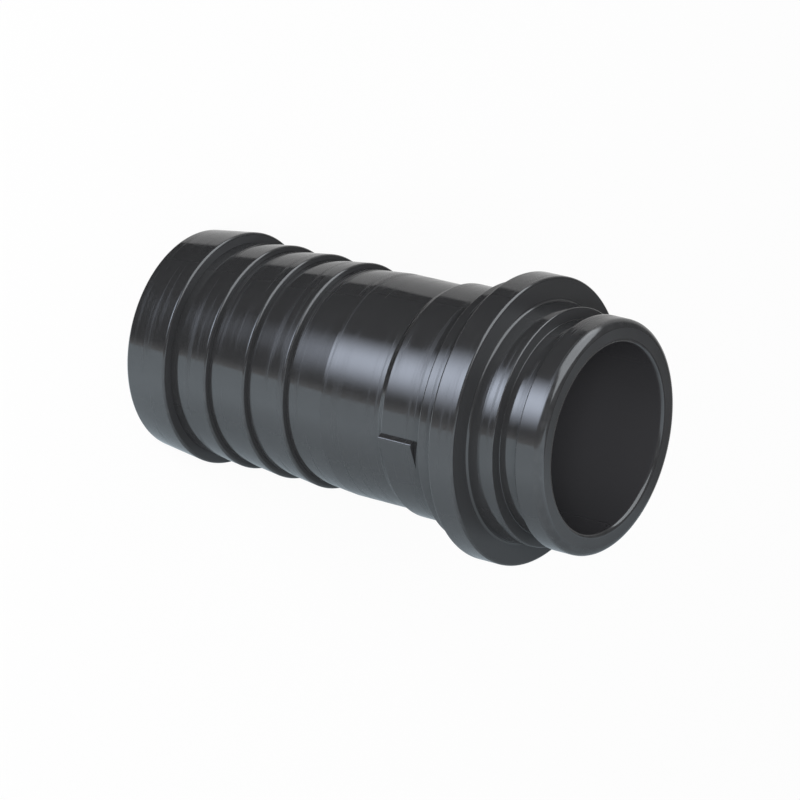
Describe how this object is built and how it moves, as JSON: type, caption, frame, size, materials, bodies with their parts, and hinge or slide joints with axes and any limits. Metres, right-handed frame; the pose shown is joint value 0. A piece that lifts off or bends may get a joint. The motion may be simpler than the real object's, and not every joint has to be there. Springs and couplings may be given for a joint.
{
  "type": "hose tail",
  "caption": "Black moulded plastic hose tail: stepped barbs grip a hose at one end, and a flange with a sealed nose is pulled into a fitting by a union nut at the other.",
  "frame": {"origin": "centre of the hose end's face, on the axis of the waterway", "axes": "+Z along the waterway from the hose end to the nose; the flat size plate on the collar faces -Y and its proud edge is on the -X side"},
  "size_m": [0.0443, 0.0442, 0.0786],
  "materials": {
    "black_plastic": "moulded black plastic, semi-gloss, with faint drag lines and tool marks"
  },
  "bodies": {
    "root": {"hose_tail": "black_plastic"}
  },
  "joints": []
}
